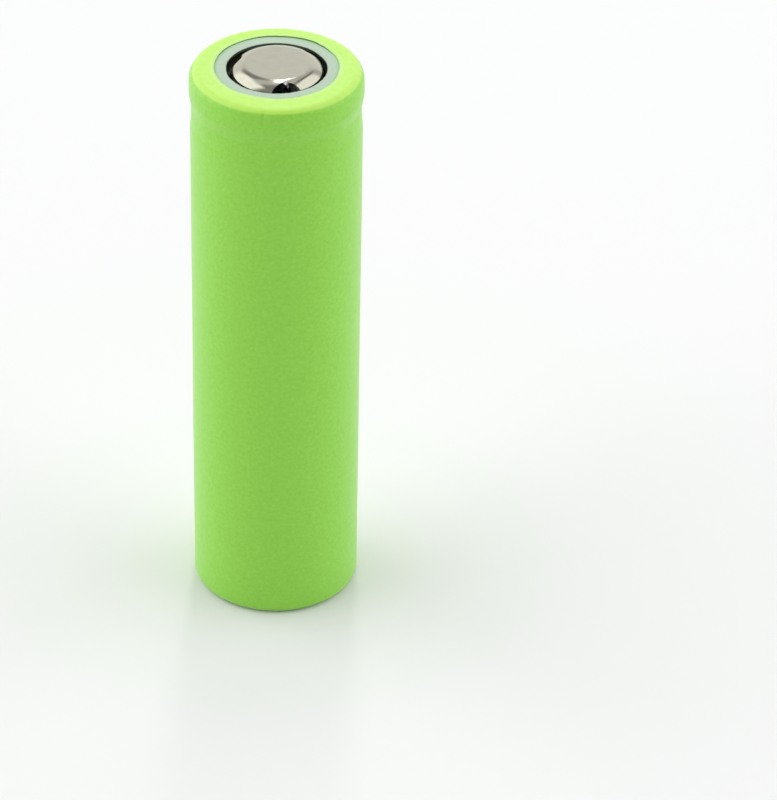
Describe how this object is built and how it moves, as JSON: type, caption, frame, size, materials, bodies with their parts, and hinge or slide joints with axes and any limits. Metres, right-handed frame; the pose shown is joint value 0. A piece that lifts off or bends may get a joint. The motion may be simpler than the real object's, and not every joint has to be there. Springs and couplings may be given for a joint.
{
  "type": "cylindrical lithium-ion battery cell",
  "caption": "Cylindrical rechargeable cell in a green shrink sleeve, with a raised vented positive cap, an insulating washer, a beaded steel can and a wound electrode roll inside.",
  "frame": {"origin": "centre of the flat ring of sleeve that the cell stands on, at its negative end", "axes": "+Z along the cell's axis, from the negative end to the positive cap"},
  "size_m": [0.0184, 0.0184, 0.0652],
  "materials": {
    "green_film": "satin green shrink film",
    "washer_board": "pale insulating board",
    "plated_can": "satin nickel plate",
    "plated_cap": "satin nickel plate",
    "gasket": "milky moulded polymer",
    "ptc": "carbon-filled polymer",
    "vent_aluminium": "bright rolled",
    "cid_plastic": "natural polymer",
    "aluminium_plate": "rolled",
    "aluminium_tab": "rolled",
    "tab_tape": "polyimide tape",
    "insulator_board": "glass-filled board",
    "aluminium_foil": "foil",
    "cathode_powder": "rolled oxide coating",
    "copper_foil": "copper foil",
    "anode_powder": "rolled graphite coating",
    "separator_film": "porous polyolefin film",
    "winding_tape": "clear tape",
    "nickel_tab": "bright nickel strip",
    "pin_steel": "plain"
  },
  "bodies": {
    "cell": {"shrink_sleeve": "green_film", "insulating_washer": "washer_board", "steel_can": "plated_can", "positive_cap": "plated_cap", "sealing_gasket": "gasket", "ptc_ring": "ptc", "cid_insulator": "cid_plastic", "weld_plate": "aluminium_plate", "cid_sub_plate": "aluminium_plate", "positive_tab": "aluminium_tab", "positive_tab_tape": "tab_tape", "top_insulator": "insulator_board", "cathode_foil": "aluminium_foil", "cathode_coating": "cathode_powder", "anode_foil": "copper_foil", "anode_coating": "anode_powder", "separator_inner": "separator_film", "separator_outer": "separator_film", "winding_tape": "winding_tape", "negative_tab": "nickel_tab", "negative_tab_tape": "tab_tape", "bottom_insulator": "insulator_board", "centre_pin": "pin_steel"},
    "vent": {"vent_disc": "vent_aluminium"}
  },
  "joints": [
    {"name": "cid_trip", "type": "slide", "parent": "cell", "child": "vent", "axis": [0, 0, 1], "range_m": [0, 0.0004], "deforming": ["vent_disc"]}
  ]
}
